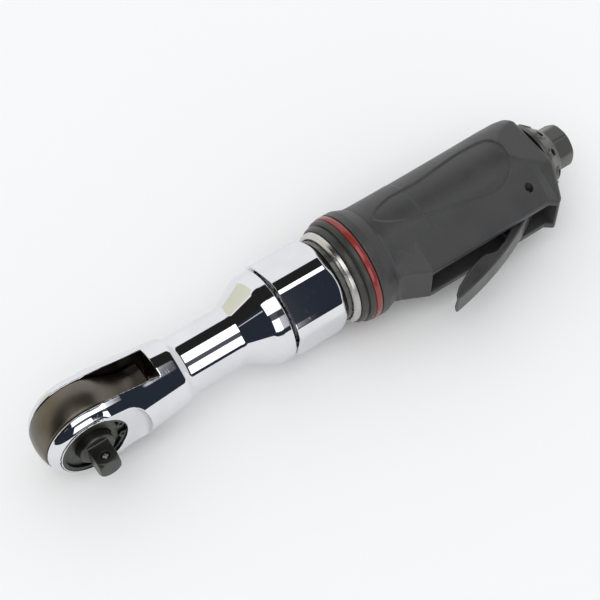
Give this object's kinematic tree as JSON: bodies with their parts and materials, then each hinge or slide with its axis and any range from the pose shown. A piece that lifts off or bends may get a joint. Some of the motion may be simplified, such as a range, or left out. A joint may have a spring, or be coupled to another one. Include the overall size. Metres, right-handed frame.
{
  "type": "air ratchet",
  "caption": "Straight air ratchet wrench: chromed fork head with a square drive, clamp nut, air motor, composite grip with throttle lever and a threaded rear air inlet.",
  "frame": {"origin": "centre of the square drive's end face", "axes": "+X from the ratchet head to the air inlet, -Y out of the square drive, +Z to one side of the handle"},
  "size_m": [0.279, 0.0697, 0.0508],
  "materials": {
    "chrome_plate": "polished chrome plate on forged steel",
    "satin_steel": "satin turned steel",
    "dark_steel": "oiled dark steel, satin",
    "black_oxide": "black oxide on hardened steel",
    "tool_steel": "ground tool steel",
    "bronze": "sintered bronze",
    "cast_alloy": "dark anodised cast alloy",
    "composite": "fine textured charcoal composite",
    "vane_resin": "cloth-filled phenolic resin",
    "rubber": "black rubber",
    "red_rubber": "smooth red rubber",
    "collar_resin": "dark moulded resin",
    "lever_coat": "satin black coat on pressed steel",
    "felt": "felt exhaust muffler"
  },
  "bodies": {
    "handle": {"anvil_snap_ring": "black_oxide", "back_pad": "rubber", "clamp_nut": "chrome_plate", "crank_bearing": "bronze", "cylinder_dowel": "tool_steel", "exhaust_deflector": "cast_alloy", "front_bearing": "satin_steel", "front_collar": "collar_resin", "front_end_plate": "tool_steel", "gear_washer": "tool_steel", "grip_sleeve": "composite", "inlet_bushing": "cast_alloy", "inlet_screen": "satin_steel", "inlet_seal": "rubber", "lever_pin": "tool_steel", "motor_cylinder": "tool_steel", "motor_housing": "cast_alloy", "muffler": "felt", "ratchet_housing": "chrome_plate", "rear_bearing": "satin_steel", "rear_end_plate": "tool_steel", "red_ring": "red_rubber", "ring_gear": "tool_steel", "steel_ring": "satin_steel", "stem_bush": "bronze", "stem_oring": "rubber", "thrust_washer": "black_oxide", "valve_cap": "tool_steel", "valve_seat": "bronze"},
    "crank": {"crankshaft": "tool_steel", "crank_bushing": "bronze", "planet_pin_1": "tool_steel", "planet_pin_2": "tool_steel", "planet_pin_3": "tool_steel"},
    "planet_1": {"planet_gear_1": "tool_steel"},
    "planet_2": {"planet_gear_2": "tool_steel"},
    "planet_3": {"planet_gear_3": "tool_steel"},
    "rotor": {"rotor": "tool_steel", "vane_1": "vane_resin", "vane_2": "vane_resin", "vane_3": "vane_resin", "vane_4": "vane_resin", "vane_5": "vane_resin"},
    "yoke": {"ratchet_yoke": "dark_steel"},
    "anvil": {"drive_anvil": "black_oxide", "detent_spring": "tool_steel", "pawl_pin": "tool_steel"},
    "ball": {"detent_ball": "satin_steel"},
    "knob": {"reverse_knob": "black_oxide", "pawl_plunger": "tool_steel", "plunger_spring": "tool_steel"},
    "pawl": {"pawl": "tool_steel"},
    "lever": {"throttle_lever": "lever_coat"},
    "stem": {"valve_stem": "satin_steel"},
    "valve": {"valve_ball": "satin_steel", "valve_spring": "tool_steel"}
  },
  "joints": [
    {"name": "lever_press", "type": "hinge", "parent": "handle", "child": "lever", "pos_m": [0.2205, 0.0053, 0], "axis": [0, 0, -1], "range_deg": [0, 12], "stiffness_Nm_per_rad": 0.6, "springref_deg": -17.19},
    {"name": "valve_stem_slide", "type": "slide", "parent": "handle", "child": "stem", "axis": [0, 1, 0], "range_m": [0, 0.0045]},
    {"name": "valve_ball_slide", "type": "slide", "parent": "handle", "child": "valve", "axis": [0, 1, 0], "range_m": [0, 0.0045]},
    {"name": "rotor_spin", "type": "hinge", "parent": "handle", "child": "rotor", "pos_m": [0.12, 0.0253, 0], "axis": [1, 0, 0], "continuous": true},
    {"name": "crank_spin", "type": "hinge", "parent": "handle", "child": "crank", "pos_m": [0.06, 0.0253, 0], "axis": [1, 0, 0], "continuous": true},
    {"name": "planet_1_spin", "type": "hinge", "parent": "crank", "child": "planet_1", "pos_m": [0.0885, 0.0253, 0.009], "axis": [1, 0, 0], "continuous": true},
    {"name": "planet_2_spin", "type": "hinge", "parent": "crank", "child": "planet_2", "pos_m": [0.0885, 0.01751, -0.0045], "axis": [1, 0, 0], "continuous": true},
    {"name": "planet_3_spin", "type": "hinge", "parent": "crank", "child": "planet_3", "pos_m": [0.0885, 0.03309, -0.0045], "axis": [1, 0, 0], "continuous": true},
    {"name": "yoke_rock", "type": "hinge", "parent": "handle", "child": "yoke", "pos_m": [0, 0.0253, 0], "axis": [0, 1, 0], "range_deg": [-3, 3]},
    {"name": "drive_spin", "type": "hinge", "parent": "handle", "child": "anvil", "pos_m": [0, 0.01, 0], "axis": [0, 1, 0], "continuous": true},
    {"name": "detent_press", "type": "slide", "parent": "anvil", "child": "ball", "axis": [0, 0, -1], "range_m": [0, 0.0011], "stiffness_N_per_m": 400, "springref_m": -0.001, "deforming": ["detent_spring"]},
    {"name": "reverse_turn", "type": "hinge", "parent": "anvil", "child": "knob", "pos_m": [0, 0.0405, 0], "axis": [0, 1, 0], "range_deg": [-25, 25]},
    {"name": "pawl_rock", "type": "hinge", "parent": "anvil", "child": "pawl", "pos_m": [0.009, 0.0253, 0], "axis": [0, 1, 0], "range_deg": [-4, 4]}
  ],
  "couplings": [
    {"joint": "valve_stem_slide", "follows": "lever_press", "m_per_rad": 0.019},
    {"joint": "valve_ball_slide", "follows": "lever_press", "m_per_rad": 0.019},
    {"joint": "crank_spin", "follows": "rotor_spin", "ratio": 0.25},
    {"joint": "planet_1_spin", "follows": "rotor_spin", "ratio": -0.75},
    {"joint": "planet_2_spin", "follows": "rotor_spin", "ratio": -0.75},
    {"joint": "planet_3_spin", "follows": "rotor_spin", "ratio": -0.75},
    {"joint": "pawl_rock", "follows": "reverse_turn", "ratio": 0.15}
  ]
}
